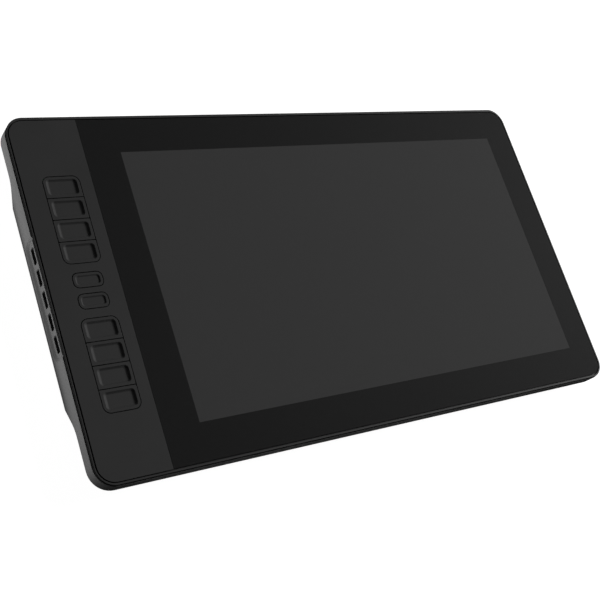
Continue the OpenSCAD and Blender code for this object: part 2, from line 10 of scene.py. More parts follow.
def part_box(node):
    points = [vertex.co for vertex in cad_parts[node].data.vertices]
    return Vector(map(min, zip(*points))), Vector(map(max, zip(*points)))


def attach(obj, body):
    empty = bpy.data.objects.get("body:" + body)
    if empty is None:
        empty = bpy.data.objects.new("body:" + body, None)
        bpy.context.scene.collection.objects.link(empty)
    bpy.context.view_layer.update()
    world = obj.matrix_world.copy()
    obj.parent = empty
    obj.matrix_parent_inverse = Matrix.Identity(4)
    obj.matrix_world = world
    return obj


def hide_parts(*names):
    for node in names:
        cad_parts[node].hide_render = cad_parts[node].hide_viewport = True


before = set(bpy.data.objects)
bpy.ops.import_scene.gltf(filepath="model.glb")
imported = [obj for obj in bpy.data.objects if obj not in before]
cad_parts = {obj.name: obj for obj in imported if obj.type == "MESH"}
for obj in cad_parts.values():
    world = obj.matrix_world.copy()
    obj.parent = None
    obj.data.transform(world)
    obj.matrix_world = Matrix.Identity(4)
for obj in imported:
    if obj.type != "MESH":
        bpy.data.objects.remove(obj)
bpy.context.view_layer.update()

bl_info = {
    "name": "Pen display",
    "version": (1, 0, 0),
    "blender": (4, 5, 0),
    "location": "3D View > Sidebar > Pen display",
    "description": "Dresses the solids of a graphics tablet with a screen",
    "category": "Object",
}

MM = 0.001
X, Y, Z = range(3)
# Measures within which corners count as one, or as lying at one height.
TINY = 1e-6
WELD = 0.0005 * MM
LEVEL = 0.01 * MM
# Flats that differ by less than this, in degrees, are joined.
FLAT = 0.4
# A face whose normal reaches this far along an axis looks along it.
FACING = 0.99
KEYS = [f"express_key_{k}" for k in range(1, 11)]
SMALL_KEYS = ("express_key_5", "express_key_6")
LOW_END_KEYS = ("express_key_4", "express_key_10")
END_KEYS = ("express_key_1", "express_key_7") + LOW_END_KEYS
BUTTONS = [f"side_button_{k}" for k in range(1, 6)]


# Values that a user would change.

LENGTH = {"subtype": "DISTANCE", "unit": "LENGTH"}


class KeySettings(bpy.types.PropertyGroup):
    dish_depth: bpy.props.FloatProperty(
        name="Dish depth", description="How deep the dish in a key is",
        default=1.1 * MM, **LENGTH)
    edge_round: bpy.props.FloatProperty(
        name="Edge round", description="Rounding of a key's edges",
        default=0.22 * MM, **LENGTH)
    bank_round: bpy.props.FloatProperty(
        name="Bank corner", description="Corner radius of a bank of wide keys",
        default=4.6 * MM, **LENGTH)


class CaseSettings(bpy.types.PropertyGroup):
    cover_round: bpy.props.FloatProperty(
        name="Cover edge", description="Rounding of the top edge of the rear cover's wall",
        default=0.12 * MM, **LENGTH)
    trim_round: bpy.props.FloatProperty(
        name="Small edges", description="Rounding of the edges of openings, rim and panel",
        default=0.18 * MM, **LENGTH)
    cover_colour: bpy.props.StringProperty(
        name="Cover colour", description="Colour of the rear cover, as sRGB hex",
        default="#5e5e5e")
    panel_colour: bpy.props.StringProperty(
        name="Panel colour", description="Colour of the key panel and keys, as sRGB hex",
        default="#353535")
    # Colour of the rim's upward faces only: painted lighter than the rim's sides, as painted light.
    rim_top_painted_light_colour: bpy.props.StringProperty(
        name="Rim colour", description="Colour of the front frame, as sRGB hex",
        default="#393939")
    screen_colour: bpy.props.StringProperty(
        name="Screen colour", description="Colour of the screen when it is off, as sRGB hex",
        default="#464646")


class StageSettings(bpy.types.PropertyGroup):
    right_lamp: bpy.props.FloatProperty(
        name="Right lamp", description="Power of the soft lamp on the right",
        default=200.0, unit="POWER")
    left_lamp: bpy.props.FloatProperty(
        name="Left lamp", description="Power of the strip lamp on the floor on the left",
        default=0.205, unit="POWER")
    front_lamp: bpy.props.FloatProperty(
        name="Front lamp", description="Power of the strip lamp on the floor in front",
        default=0.0085, unit="POWER")
    sky: bpy.props.FloatProperty(
        name="Room light", description="Strength of the even light from above", default=0.04)
    floor_glow: bpy.props.FloatProperty(
        name="Floor white", description="Share of white in the floor and backdrop as they are seen",
        default=0.985)


# Small tools for modelling.

def only(piece):
    """Makes a piece the only selected object, and the active one."""
    bpy.ops.object.select_all(action="DESELECT")
    piece.select_set(True)
    bpy.context.view_layer.objects.active = piece


def settle(piece, name):
    """Puts a piece's place into its mesh and names it."""
    only(piece)
    bpy.ops.object.transform_apply(location=True, rotation=True, scale=True)
    piece.name = name
    piece.data.name = name
    return piece


def block(name, low, high):
    """Cuboid between two corners."""
    low, high = Vector(low), Vector(high)
    bpy.ops.object.select_all(action="DESELECT")
    bpy.ops.mesh.primitive_cube_add(size=1, location=(low + high) / 2, scale=high - low)
    return settle(bpy.context.active_object, name)


def rod(name, centre, radius, depth, sides=32, turn=(0, 0, 0)):
    """Round bar."""
    bpy.ops.object.select_all(action="DESELECT")
    bpy.ops.mesh.primitive_cylinder_add(
        vertices=sides, radius=radius, depth=depth, location=centre, rotation=turn)
    return settle(bpy.context.active_object, name)


def edit(piece):
    """Opens a piece in edit mode."""
    only(piece)
    bpy.ops.object.mode_set(mode="EDIT")


def done():
    """Leaves edit mode."""
    bpy.ops.object.mode_set(mode="OBJECT")


def choose(piece, kind, rule):
    """In edit mode, selects only the corners, edges or faces for which the rule holds."""
    bpy.ops.mesh.select_mode(type=kind)
    bpy.ops.mesh.select_all(action="DESELECT")
    shape = bmesh.from_edit_mesh(piece.data)
    for part in {"VERT": shape.verts, "EDGE": shape.edges, "FACE": shape.faces}[kind]:
        if rule(part):
            part.select_set(True)
    bmesh.update_edit_mesh(piece.data)


def spans(axis, length):
    """Rule for the edges that reach further than a length along an axis."""
    return lambda e: abs(e.verts[0].co[axis] - e.verts[1].co[axis]) > length


def at_level(level):
    """Rule for the edges that lie at a height."""
    return lambda e: all(abs(v.co.z - level) < TINY for v in e.verts)


def round_edges(piece, rule, width, segments, clamp=False):
    """Rounds the edges for which the rule holds."""
    edit(piece)
    choose(piece, "EDGE", rule)
    bpy.ops.mesh.bevel(offset=width, segments=segments, affect="EDGES", clamp_overlap=clamp)
    done()


def soften(piece, width, angle=25, segments=3, skip=lambda edge: False):
    """Rounds every edge sharper than an angle in degrees, apart from those that a rule skips."""
    least = math.radians(angle)
    round_edges(piece, lambda e: e.is_manifold and e.calc_face_angle() > least and not skip(e),
                width, segments, clamp=True)


def move(piece, rule, shift):
    """Moves the corners for which the rule holds."""
    edit(piece)
    choose(piece, "VERT", rule)
    bpy.ops.transform.translate(value=shift)
    done()


def resize(piece, rule, grow, centre):
    """Resizes what lies between the corners for which the rule holds, about a centre."""
    edit(piece)
    choose(piece, "VERT", rule)
    bpy.ops.transform.resize(value=grow, center_override=centre)
    done()


def apply_all(piece):
    """Applies a piece's modifiers."""
    only(piece)
    for modifier in list(piece.modifiers):
        bpy.ops.object.modifier_apply(modifier=modifier.name)


def combine(piece, tool, operation):
    """Cuts a tool from a piece, or adds it, and removes the tool."""
    cut = piece.modifiers.new("combine", "BOOLEAN")
    cut.object = tool
    cut.operation = operation
    cut.solver = "EXACT"
    apply_all(piece)
    bpy.data.objects.remove(tool)


def smooth(piece, angle=32):
    """Smooth shading that keeps flats flat."""
    only(piece)
    bpy.ops.object.shade_smooth_by_angle(angle=math.radians(angle))
    weigh = piece.modifiers.new("weigh", "WEIGHTED_NORMAL")
    weigh.keep_sharp = True
    apply_all(piece)


def merged_copy(node, name):
    """Copy of a solid as one clean skin: doubles merged, flats joined to single faces."""
    piece = bpy.data.objects.new(name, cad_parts[node].data.copy())
    piece.data.name = name
    piece.data.materials.clear()
    bpy.context.scene.collection.objects.link(piece)
    only(piece)
    bpy.ops.mesh.customdata_custom_splitnormals_clear()
    edit(piece)
    bpy.ops.mesh.select_all(action="SELECT")
    bpy.ops.mesh.remove_doubles(threshold=WELD)
    bpy.ops.mesh.dissolve_limited(angle_limit=math.radians(FLAT))
    done()
    return piece


def raise_level(piece, old, new):
    """Moves all that lies at one height to another."""
    move(piece, lambda v: abs(v.co.z - old) < LEVEL, (0, 0, new - old))


def place_copy(piece, name, shift, half_turn=False):
    """Copy of a piece with its own mesh, moved by a vector and perhaps turned by half."""
    only(piece)
    bpy.ops.object.duplicate(linked=False)
    made = bpy.context.active_object
    if half_turn:
        corners = [Vector(corner) for corner in made.bound_box]
        middle = sum(corners, Vector()) / len(corners)
        made.matrix_world = (Matrix.Translation(shift + middle) @ Matrix.Rotation(math.pi, 4, "Z")
                             @ Matrix.Translation(-middle))
    else:
        made.location = shift
    return settle(made, name)


def join_copies(master, name, shifts):
    """Copies of a master at several places, joined to one piece; the master goes."""
    copies = [place_copy(master, name, shift) for shift in shifts]
    bpy.data.objects.remove(master)
    only(copies[0])
    for piece in copies:
        piece.select_set(True)
    bpy.ops.object.join()
    return settle(bpy.context.active_object, name)


def four_corners(across, along):
    """Shifts from one corner of a rectangle to all four."""
    return [Vector((across * i, along * j, 0)) for i in (0, 1) for j in (0, 1)]


def threaded_rod(name, centre, radius, low, high, pitch, depth, sides):
    """Round bar whose skin goes in and out by the depth of a thread, ring by ring."""
    turns = max(1, round((high - low) / pitch))
    bar = rod(name, (centre.x, centre.y, (low + high) / 2), radius, high - low, sides)
    edit(bar)
    choose(bar, "EDGE", spans(Z, pitch))
    bpy.ops.mesh.subdivide(number_cuts=2 * turns - 1)
    done()
    step = (high - low) / (2 * turns)
    share = (radius - depth) / radius
    resize(bar, lambda v: round((v.co.z - low) / step) % 2 == 1, (share, share, 1),
           (centre.x, centre.y, 0))
    return bar


def hand_in(piece, body, slot, finish, *nodes):
    """Gives a piece its finish and body, and lets it stand for its solids; the slot is not used."""
    piece.data.materials.clear()
    piece.data.materials.append(finish)
    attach(piece, body)
    if nodes:
        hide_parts(*nodes)
    return piece


def second_finish(piece, finish, rule):
    """Gives the faces for which the rule holds a finish of their own."""
    piece.data.materials.append(finish)
    for face in piece.data.polygons:
        if rule(face):
            face.material_index = len(piece.data.materials) - 1


def dress(finish, *nodes):
    """Gives solids that stay a finish."""
    for node in nodes:
        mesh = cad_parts[node].data
        mesh.materials.clear()
        mesh.materials.append(finish)


# Finishes.

def linear(colour, alpha=1.0):
    """Linear colour of an sRGB hex value."""
    parts = [int(colour[k:k + 2], 16) / 255 for k in (1, 3, 5)]
    return [c / 12.92 if c <= 0.04045 else ((c + 0.055) / 1.055) ** 2.4 for c in parts] + [alpha]


def shade(colour, share):
    """Linear colour made darker or paler by a share."""
    return [c * share for c in colour[:3]] + [1]


def add_node(tree, kind, feeds=None, **settings):
    """Adds a node with its settings; feeds gives inputs values, or the nodes that feed them."""
    made = tree.nodes.new(kind)
    for name, value in settings.items():
        setattr(made, name, value)
    for name, value in (feeds or {}).items():
        if isinstance(value, bpy.types.Node):
            value = next(socket for socket in value.outputs if socket.enabled)
        if isinstance(value, bpy.types.NodeSocket):
            tree.links.new(value, made.inputs[name])
        else:
            made.inputs[name].default_value = value
    return made


def new_finish(name):
    """Empty material with its tree and object coordinates."""
    made = bpy.data.materials.new(name)
    made.use_nodes = True
    tree = made.node_tree
    tree.nodes.clear()
    place = add_node(tree, "ShaderNodeTexCoord").outputs["Object"]
    return made, tree, place


def per_mm(size):
    """Texture scale, in cells per metre, for a feature of a size in millimetres."""
    return 1.0 / (size * MM)


# How far the roughness goes either way, and the size in mm of the clouds in a plastic's tone.
PLASTIC_SPREAD, PLASTIC_CLOUD = 0.06, 35
MARKS_SPREAD = 0.05


def moulded_plastic(name, colour, grain, rough, depth, mottle=0.12, specular=0.5):
    """Moulded plastic: grain of a size in mm that breaks up the shine, and an uneven tone."""
    made, tree, place = new_finish(name)
    base = linear(colour)
    cloud = add_node(tree, "ShaderNodeTexNoise",
                     {"Vector": place, "Scale": per_mm(PLASTIC_CLOUD), "Detail": 4.0})
    fine = add_node(tree, "ShaderNodeTexNoise",
                    {"Vector": place, "Scale": per_mm(grain), "Detail": 2.0})
    tone = add_node(tree, "ShaderNodeMix", {"Factor": cloud, "A": shade(base, 1 - mottle),
                                            "B": shade(base, 1 + mottle)}, data_type="RGBA")
    shine = add_node(tree, "ShaderNodeMapRange", {"Value": fine, "To Min": rough - PLASTIC_SPREAD,
                                                  "To Max": rough + PLASTIC_SPREAD})
    bump = add_node(tree, "ShaderNodeBump",
                    {"Height": fine, "Strength": 0.35, "Distance": depth * MM})
    skin = add_node(tree, "ShaderNodeBsdfPrincipled",
                    {"Base Color": tone, "Roughness": shine, "Normal": bump, "IOR": 1.5,
                     "Specular IOR Level": specular})
    add_node(tree, "ShaderNodeOutputMaterial", {"Surface": skin})
    return made


def etched_glass(name):
    """Cover glass, etched against glare: clear, with a wide soft haze in place of mirror images."""
    made, tree, place = new_finish(name)
    etch = add_node(tree, "ShaderNodeTexNoise",
                    {"Vector": place, "Scale": per_mm(0.8), "Detail": 2.0})
    haze = add_node(tree, "ShaderNodeMapRange", {"Value": etch, "To Min": 0.76, "To Max": 0.84})
    skin = add_node(tree, "ShaderNodeBsdfPrincipled",
                    {"Base Color": linear("#0b0c0c"), "Roughness": haze, "IOR": 1.5,
                     "Alpha": 0.056})
    add_node(tree, "ShaderNodeOutputMaterial", {"Surface": skin})
    return made


# A Wave texture has 10 / pi bands in each unit of its scale.
BANDS = math.pi / 10
# Patterns: the texture node, its output, its scale for one mark a unit, its inputs and settings.
PATTERNS = {
    "grain": ("ShaderNodeTexNoise", "Fac", 1, {"Detail": 2.0}, {}),
    "cloud": ("ShaderNodeTexNoise", "Fac", 1, {"Detail": 3.0}, {}),
    "flow": ("ShaderNodeTexNoise", "Fac", 1, {"Detail": 4.0}, {}),
    "cells": ("ShaderNodeTexVoronoi", "Distance", 1, {}, {}),
    "dots": ("ShaderNodeTexVoronoi", "Distance", 1, {"Randomness": 0.0}, {}),
    "bands_x": ("ShaderNodeTexWave", "Fac", BANDS, {}, {"bands_direction": "X"}),
    "bands_y": ("ShaderNodeTexWave", "Fac", BANDS, {}, {"bands_direction": "Y"}),
    "rings": ("ShaderNodeTexWave", "Fac", BANDS, {"Distortion": 1.5}, {"bands_direction": "Z"}),
}


def uneven_finish(name, dark, pale, rough, pattern, size, stretch=(1, 1, 1), metal=0.0,
                  bump_mm=0.02, specular=0.5):
    """Finish in which a pattern of a size in mm runs between two tones and breaks up the shine."""
    made, tree, place = new_finish(name)
    kind, output, unit, inputs, settings = PATTERNS[pattern]
    laid = add_node(tree, "ShaderNodeMapping", {"Vector": place, "Scale": stretch})
    marks = add_node(tree, kind, {"Vector": laid, "Scale": unit * per_mm(size), **inputs},
                     **settings).outputs[output]
    tone = add_node(tree, "ShaderNodeMix",
                    {"Factor": marks, "A": linear(dark), "B": linear(pale)}, data_type="RGBA")
    shine = add_node(tree, "ShaderNodeMapRange", {"Value": marks, "To Min": rough + MARKS_SPREAD,
                                                  "To Max": rough - MARKS_SPREAD})
    bump = add_node(tree, "ShaderNodeBump",
                    {"Height": marks, "Strength": 0.3, "Distance": bump_mm * MM})
    skin = add_node(tree, "ShaderNodeBsdfPrincipled",
                    {"Base Color": tone, "Roughness": shine, "Metallic": metal, "Normal": bump,
                     "Specular IOR Level": specular})
    add_node(tree, "ShaderNodeOutputMaterial", {"Surface": skin})
    return made


def solder_mask(name, mask, trace, pad):
    """Circuit board under lacquer: paler tracks show through, and gilded pads break it up."""
    made, tree, place = new_finish(name)
    base = linear(mask)
    # Tracks are 0.2 mm wide on the real board; they are drawn twice as wide so that they show.
    tracks = add_node(tree, "ShaderNodeTexBrick",
                      {"Vector": place, "Scale": per_mm(1.0), "Brick Width": 11.0,
                       "Row Height": 1.3, "Mortar Size": 0.2, "Mortar Smooth": 0.3,
                       "Color1": base, "Color2": shade(base, 0.85), "Mortar": linear(trace)},
                      offset=0.37)
    spots = add_node(tree, "ShaderNodeTexVoronoi",
                     {"Vector": place, "Scale": per_mm(6.0)}, feature="F1")
    gilded = add_node(tree, "ShaderNodeMapRange", {"Value": spots, "From Min": 0.09,
                                                   "From Max": 0.10, "To Min": 1.0, "To Max": 0.0})
    tone = add_node(tree, "ShaderNodeMix",
                    {"Factor": gilded, "A": tracks, "B": linear(pad)}, data_type="RGBA")
    bump = add_node(tree, "ShaderNodeBump",
                    {"Height": tracks.outputs["Fac"], "Strength": 0.4, "Distance": 0.03 * MM})
    skin = add_node(tree, "ShaderNodeBsdfPrincipled",
                    {"Base Color": tone, "Roughness": 0.32, "Metallic": gilded, "Normal": bump})
    add_node(tree, "ShaderNodeOutputMaterial", {"Surface": skin})
    return made


# Pieces. The edges of the panel and glass are rounded by this share of the small edges' rounding.
FINE_EDGE = 0.7


class CaseOperator(bpy.types.Operator):
    """Softens the edges of the rear cover, front frame and key panel and gives them finishes"""
    bl_idname = "pen_display.case"
    bl_label = "Case"

    # The pocket in the left wall: its floor, the rim above it, and how much crisper it is drawn.
    POCKET_FLOOR = -222.9 * MM
    POCKET_HALF = 45 * MM
    POCKET_TOP = 18.95 * MM
    ON_FLOOR = 0.02 * MM
    DEEPER = 0.25 * MM
    FLOOR_GROW = (1, 1.03, 1.11)
    SLOTS_END = 35.8 * MM
    SLOT_REACH = 4 * MM
    SLOT_LEVEL = 13.1 * MM
    SLOT_HALF = 2.8 * MM
    SLOT_GROW = 1.43
    SLOT_DROP = 0.7 * MM
    # The rim and the cover's wall run round the same corner centres.
    CORNER = Vector((210.3, 111.0)) * MM
    COVER_REACH = 13.6 * MM
    RIM_REACH = 13.0 * MM
    RIM_ROUND = 0.36 * MM
    FAR_GROW = 1.05
    # Edges of the cover that turn by more than this, in degrees, are rounded.
    COVER_ANGLE = 13
    # The edge of a wall's top turns by more than this, in radians.
    SQUARE = 1.2
    # The groove inside the rim: where rim and panel end, and how much further out on the left.
    RIM_INNER, RIM_WIDER = 11.7 * MM, 1.03
    PANEL_REACH, PANEL_WIDER = 11.0 * MM, 1.018
    GROOVE_DEEP = 1.4 * MM
    GROOVE_NEAR = 0.2 * MM
    # The rim's lip that hangs over the pocket, and how near to it a face is part of it.
    LIP_LOW = Vector((-223.25, -38.9, 17.9)) * MM
    LIP_HIGH = Vector((-222.75, 38.9, 19.25)) * MM
    LIP_NEAR, LIP_BELOW = 0.1 * MM, 0.15 * MM
    # How far up a face of the rim looks where it is satin and painted lighter, as painted light, on
    # the left and elsewhere; on the left it takes in more of the rounded edge, for a painted line
    # of light.
    SATIN_LEFT, SATIN = 0.5, 0.9

    def execute(self, context):
        case = context.scene.pen_display_case
        cover = merged_copy("rear_cover", "rear_cover_shell")
        self.shape_pocket(cover)
        round_edges(cover, self.top_edge("rear_cover", self.COVER_REACH), case.cover_round, 4)
        soften(cover, case.trim_round, angle=self.COVER_ANGLE, skip=self.at_slot)
        smooth(cover, self.COVER_ANGLE)
        # ABS, moulded in a spark-eroded tool: mid-grey and dry, with a fine grain and no shine.
        hand_in(cover, "case", "rear_cover",
                moulded_plastic("grained_ABS_grey", case.cover_colour, grain=0.5, rough=0.7,
                                depth=0.03, mottle=0.05, specular=0.0), "rear_cover")
        rim = merged_copy("front_frame", "front_frame_rim")
        self.round_rim(rim)
        soften(rim, case.trim_round)
        lip = block("lip", self.LIP_LOW, self.LIP_HIGH)
        soften(lip, case.trim_round / 2)
        combine(rim, lip, "UNION")
        smooth(rim)
        # The rim is moulded in black ABS: its sides are matte from the tool and painted darker
        # beside the wall, as painted shade, and its narrow top face is satin and painted lighter, a
        # painted highlight that makes a thin line of light.
        hand_in(rim, "case", "front_frame",
                moulded_plastic("matte_ABS_rim_painted_shade", "#212121", grain=0.3, rough=0.6, depth=0.01,
                                specular=0.0), "front_frame")
        second_finish(rim, moulded_plastic("satin_ABS_rim_painted_light", case.rim_top_painted_light_colour, grain=0.3, rough=0.5,
                                           depth=0.005, specular=0.05), self.on_rim_top)
        # The lip is of the same ABS, left rough by the tool, and painted darker still: painted
        # shade for the shadow line under the rim over the pocket.
        second_finish(rim, moulded_plastic("matte_ABS_lip_painted_shade", "#101010", grain=0.3, rough=0.7,
                                           depth=0.01, specular=0.0), self.on_lip)
        panel = merged_copy("key_panel", "key_panel_plate")
        self.widen_left(panel, self.PANEL_REACH, self.PANEL_WIDER)
        soften(panel, case.trim_round * FINE_EDGE)
        smooth(panel)
        # ABS, moulded with a fine etched grain: a soft charcoal that hardly shines.
        hand_in(panel, "case", "key_panel",
                moulded_plastic("matte_ABS_black", case.panel_colour, grain=0.35, rough=0.6,
                                depth=0.02, specular=0.06), "key_panel")
        return {"FINISHED"}

    def on_rim_top(self, face):
        """True for a face of the rim that looks up, which is painted lighter, as painted light."""
        return face.normal.z > (self.SATIN_LEFT if face.center.x < -self.CORNER.x else self.SATIN)

    def on_lip(self, face):
        """True for a face of the lip, below its top."""
        centre = face.center
        return (centre.x < self.LIP_HIGH.x and abs(centre.y) < self.LIP_HIGH.y + self.LIP_NEAR
                and self.LIP_LOW.z - self.LIP_NEAR < centre.z < self.LIP_HIGH.z - self.LIP_BELOW)

    def on_floor(self, v):
        """True for a corner on the pocket's floor."""
        return abs(v.co.x - self.POCKET_FLOOR) < self.ON_FLOOR and abs(v.co.y) < self.POCKET_HALF

    def near_slot(self, v):
        """True for a corner of the slots that the side buttons stand in."""
        return (v.co.x < self.POCKET_FLOOR + self.SLOT_REACH and abs(v.co.y) < self.SLOTS_END
                and abs(v.co.z - self.SLOT_LEVEL) < self.SLOT_HALF)

    def at_slot(self, edge):
        """True for the edges of the slots, which stay crisp."""
        return all(self.near_slot(v) for v in edge.verts)

    def shape_pocket(self, cover):
        """Sinks the pocket's floor a little, steepens its flanks and opens the slots a little."""
        resize(cover, lambda v: self.on_floor(v) and not self.near_slot(v), self.FLOOR_GROW,
               (self.POCKET_FLOOR, 0, self.POCKET_TOP))
        resize(cover, self.near_slot, (1, 1, self.SLOT_GROW), (0, 0, self.SLOT_LEVEL))
        move(cover, self.near_slot, (0, 0, -self.SLOT_DROP))
        move(cover, self.on_floor, (self.DEEPER, 0, 0))

    def top_edge(self, node, reach):
        """Rule for the outer edges of a wall's top."""
        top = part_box(node)[1].z
        return lambda e: e.calc_face_angle() > self.SQUARE and all(
            v.co.z > top - TINY and self.on_outline(v, reach) for v in e.verts)

    def round_rim(self, rim):
        """Widens the rim at its far side and on the left and rounds its outer top edge."""
        resize(rim, lambda v: v.co.y > self.CORNER.y and self.on_outline(v, self.RIM_REACH),
               (1, self.FAR_GROW, 1), self.CORNER.to_3d())
        round_edges(rim, self.top_edge("front_frame", self.RIM_REACH), self.RIM_ROUND, 5)
        self.widen_left(rim, self.RIM_INNER, self.RIM_WIDER)

    def widen_left(self, piece, reach, grow):
        """Moves an outline of a piece further out on the left, near the top."""
        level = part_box("front_frame")[1].z - self.GROOVE_DEEP
        resize(piece, lambda v: v.co.x < -self.CORNER.x and v.co.z > level
               and self.on_outline(v, reach, self.GROOVE_NEAR),
               (grow, 1, 1), (-self.CORNER.x, 0, 0))

    def on_outline(self, v, reach, within=0.75 * MM):
        """True on the outline that runs at a distance round the centres of the four corners."""
        over = Vector((max(abs(v.co.x) - self.CORNER.x, 0), max(abs(v.co.y) - self.CORNER.y, 0)))
        return abs(over.length - reach) < within


class ScreenOperator(bpy.types.Operator):
    """Gives the glass, its printed border and the layers of the display their finishes"""
    bl_idname = "pen_display.screen"
    bl_label = "Screen"

    # The print and the screen are bonded to the glass, so they show right under its face.
    CLEAR = 0.25 * MM
    BOND = 0.02 * MM
    SCREEN_LOW = Vector((-147.35, -96.65, 0)) * MM
    SCREEN_HIGH = Vector((196.15, 96.55, 0)) * MM
    WINDOW_REACH = 3 * MM

    def execute(self, context):
        case = context.scene.pen_display_case
        glass = merged_copy("cover_glass", "cover_glass_sheet")
        low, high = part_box("cover_glass")
        raise_level(glass, low.z, high.z - self.CLEAR)
        soften(glass, case.trim_round * FINE_EDGE)
        smooth(glass)
        hand_in(glass, "case", "cover_glass", etched_glass("etched_glass"), "cover_glass")
        print_top = high.z - self.CLEAR - self.BOND
        border = merged_copy("mask_print", "mask_print_border")
        raise_level(border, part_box("mask_print")[1].z, print_top)
        self.fit_window(border)
        smooth(border)
        # Enamel ink, screen-printed: even black with the mesh's faint dots (0.1 mm, drawn as 0.6).
        ink = uneven_finish("screen_printed_ink", "#191919", "#1e1e1e", 0.7, "cells", 0.6,
                            specular=0.028, bump_mm=0.002)
        hand_in(border, "case", "mask_print", ink, "mask_print")
        # Polariser film, cast: it makes a screen that is off look smoked grey, with hardly a cloud.
        film = uneven_finish("cast_polariser_film", "#454545", case.screen_colour, 0.6, "cloud", 60,
                             specular=0.0, bump_mm=0.001)
        front = block("display_cell_polariser",
                      (self.SCREEN_LOW[X], self.SCREEN_LOW[Y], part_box("display_cell")[1].z),
                      (self.SCREEN_HIGH[X], self.SCREEN_HIGH[Y], print_top - self.BOND))
        edit(front)
        choose(front, "FACE", lambda f: f.normal.z > FACING)
        bpy.ops.mesh.inset(thickness=self.BOND)
        done()
        smooth(front)
        hand_in(front, "case", "display_cell", film)
        dress(film, "display_cell")
        # Foam tape, die-cut: dull black, with the foam's small cells (0.4 mm) open at its edge.
        dress(uneven_finish("die_cut_foam_tape", "#0f0f0f", "#242424", 0.9, "cells", 0.4,
                            specular=0.2, bump_mm=0.1), "glass_tape")
        # Prism films, embossed: milky, with ridges (0.05 mm, drawn as 0.8) that streak the light.
        dress(uneven_finish("embossed_prism_film", "#d3d7da", "#eceff2", 0.38, "bands_y", 0.8),
              "optical_films")
        # Acrylic plate, cast: glassy and pale, with the rows of white dots that lead the light out.
        dress(uneven_finish("cast_acrylic_dotted", "#f4f6f6", "#cfdadd", 0.1, "dots", 1.6,
                            bump_mm=0.01), "light_guide")
        # Polyester sheet, drawn: bright white with a soft silky cloud.
        dress(uneven_finish("drawn_polyester_white", "#e6e6e6", "#f4f4f4", 0.5, "cloud", 8),
              "reflector_sheet")
        # Lamp strip, soldered: yellow lamps every 8 mm on a white strip.
        dress(uneven_finish("soldered_lamp_strip", "#e9e9e2", "#dcbf3c", 0.4, "bands_x", 8.0),
              "light_bar")
        # Polycarbonate, moulded: white and satin, with faint flow marks along the bars.
        dress(uneven_finish("moulded_polycarbonate_white", "#d6d6d2", "#e8e8e5", 0.5, "flow", 6,
                            stretch=(0.15, 1, 1)), "panel_frame")
        return {"FINISHED"}

    def fit_window(self, border):
        """Moves the edges of the window in the print to where the screen ends."""
        edit(border)
        for axis in (X, Y):
            for goal in (self.SCREEN_LOW[axis], self.SCREEN_HIGH[axis]):
                choose(border, "VERT", lambda v: abs(v.co[axis] - goal) < self.WINDOW_REACH)
                corners = bmesh.from_edit_mesh(border.data).verts
                where = next(v.co[axis] for v in corners if v.select)
                bpy.ops.transform.translate(
                    value=[goal - where if k == axis else 0 for k in range(3)])
        done()


# How far down a dish is, as a share of its depth, at shares of its flank's width.
DISH_PROFILE = [(0.25, 0.333), (0.5, 0.667), (0.6, 0.787), (0.7, 0.880), (0.8, 0.947),
                (0.9, 0.987), (1.0, 1.0)]


def dish_tool(centre, top, size, flank, corner, depth):
    """Cutter for a key's dish: straight flanks that run into the flat floor by a soft curve."""
    middle = Vector((centre.x, centre.y, top))
    bpy.ops.object.select_all(action="DESELECT")
    bpy.ops.mesh.primitive_plane_add(size=1, location=middle)
    tool = settle(bpy.context.active_object, "dish")
    edit(tool)
    bpy.ops.mesh.select_all(action="SELECT")
    bpy.ops.transform.resize(value=(size.x, size.y, 1), center_override=middle)
    bpy.ops.mesh.bevel(offset=corner, segments=8, affect="VERTICES")
    choose(tool, "FACE", lambda face: True)
    reach, level, tall = 0.0, 0.0, size.y
    for share, sunk in DISH_PROFILE:
        step = (share - reach) * flank.x
        bpy.ops.mesh.inset(thickness=step, use_boundary=True, use_even_offset=True)
        goal = size.y - 2 * share * flank.y
        bpy.ops.transform.resize(value=(1, goal / (tall - 2 * step), 1), center_override=middle)
        bpy.ops.transform.translate(value=(0, 0, (level - sunk) * depth))
        reach, level, tall = share, sunk, goal
    choose(tool, "EDGE", lambda e: e.is_boundary)
    bpy.ops.mesh.extrude_region_move(TRANSFORM_OT_translate={"value": (0, 0, 2 * depth)})
    bpy.ops.mesh.edge_face_add()
    bpy.ops.mesh.select_all(action="SELECT")
    bpy.ops.mesh.normals_make_consistent(inside=False)
    done()
    return tool


